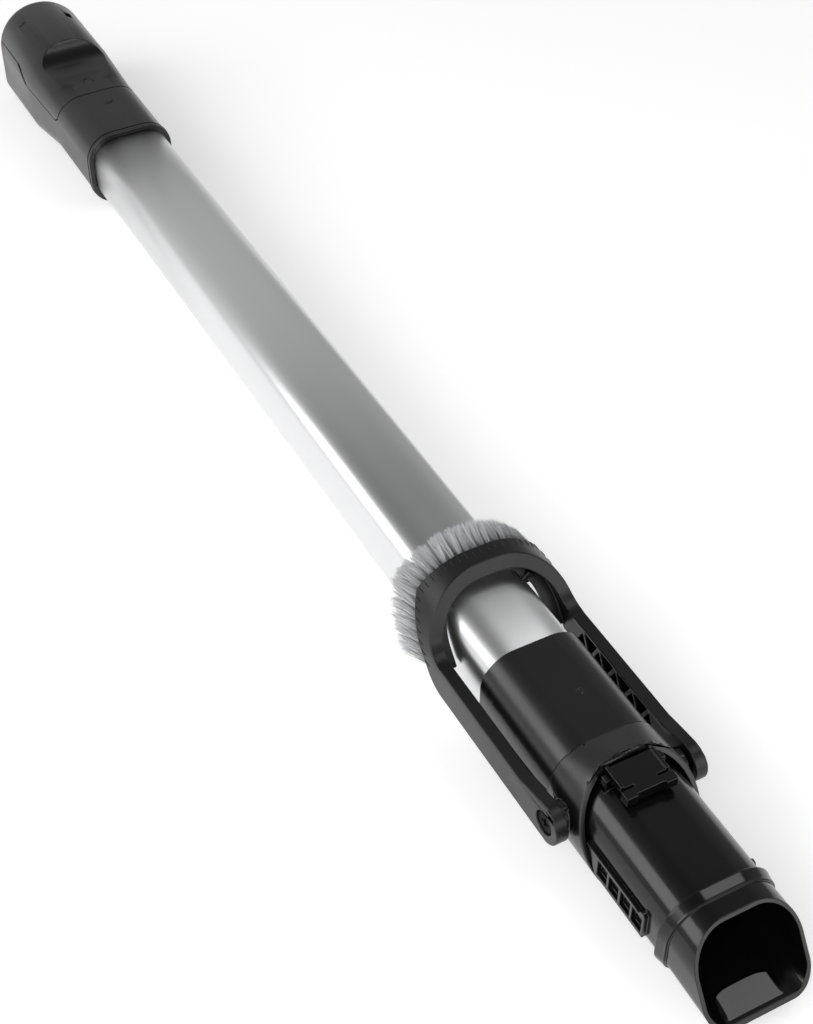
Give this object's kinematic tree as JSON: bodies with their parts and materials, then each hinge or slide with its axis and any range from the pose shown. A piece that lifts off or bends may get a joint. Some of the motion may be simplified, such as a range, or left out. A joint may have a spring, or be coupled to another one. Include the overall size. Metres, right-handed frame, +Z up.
{
  "type": "vacuum cleaner wand",
  "caption": "Oval aluminium vacuum wand that draws out at its handle end, with a thumb release, a flip-over dusting brush and a slanted oval mouth.",
  "frame": {"origin": "on the surface that the wand lies on, under the middle of its length and width", "axes": "+X along the wand towards its slanted mouth, +Z up through the thumb release, +Y to the left when looking along +X"},
  "size_m": [0.6746, 0.073, 0.0595],
  "materials": {
    "satin_black": "satin",
    "gloss_black": "semi-gloss",
    "anodised": "satin",
    "inner_metal": "satin",
    "pale_plastic": "matt",
    "bristle": "matt",
    "steel": "satin",
    "seal_rubber": "matt"
  },
  "bodies": {
    "wand": {"outer_tube": "anodised", "housing_body": "satin_black", "guide_bush": "pale_plastic", "tube_seal": "seal_rubber", "lower_sleeve": "satin_black", "pivot_collar": "satin_black", "spigot": "gloss_black", "pivot_screw_left": "steel", "pivot_screw_right": "steel", "latch_pin": "steel", "slider_spring": "steel", "latch_spring": "steel"},
    "inner": {"inner_tube": "inner_metal", "inner_glide": "pale_plastic", "handle_socket": "satin_black"},
    "slider": {"release_slider": "satin_black"},
    "shoe": {"brake_shoe": "pale_plastic", "brake_peg": "steel"},
    "brush": {"brush_yoke": "satin_black", "bristles": "bristle"},
    "latch": {"latch_tongue": "gloss_black"}
  },
  "joints": [
    {"name": "telescope", "type": "slide", "parent": "wand", "child": "inner", "axis": [-1, 0, 0], "range_m": [0, 0.32]},
    {"name": "brush_flip", "type": "hinge", "parent": "wand", "child": "brush", "pos_m": [0.24872, 0, 0.025], "axis": [0, 1, 0], "range_deg": [0, 180]},
    {"name": "slider_push", "type": "slide", "parent": "wand", "child": "slider", "axis": [-1, 0, 0], "range_m": [0, 0.003], "stiffness_N_per_m": 600, "springref_m": -0.003, "deforming": ["slider_spring"]},
    {"name": "shoe_lift", "type": "slide", "parent": "wand", "child": "shoe", "axis": [0, 0, 1], "range_m": [0, 0.0009]},
    {"name": "latch_press", "type": "hinge", "parent": "wand", "child": "latch", "pos_m": [0.25422, 0, 0.0417], "axis": [0, 1, 0], "range_deg": [0, 6], "stiffness_Nm_per_rad": 0.4, "springref_deg": -2.86, "deforming": ["latch_spring"]}
  ],
  "couplings": [
    {"joint": "shoe_lift", "follows": "slider_push", "ratio": 0.3}
  ]
}
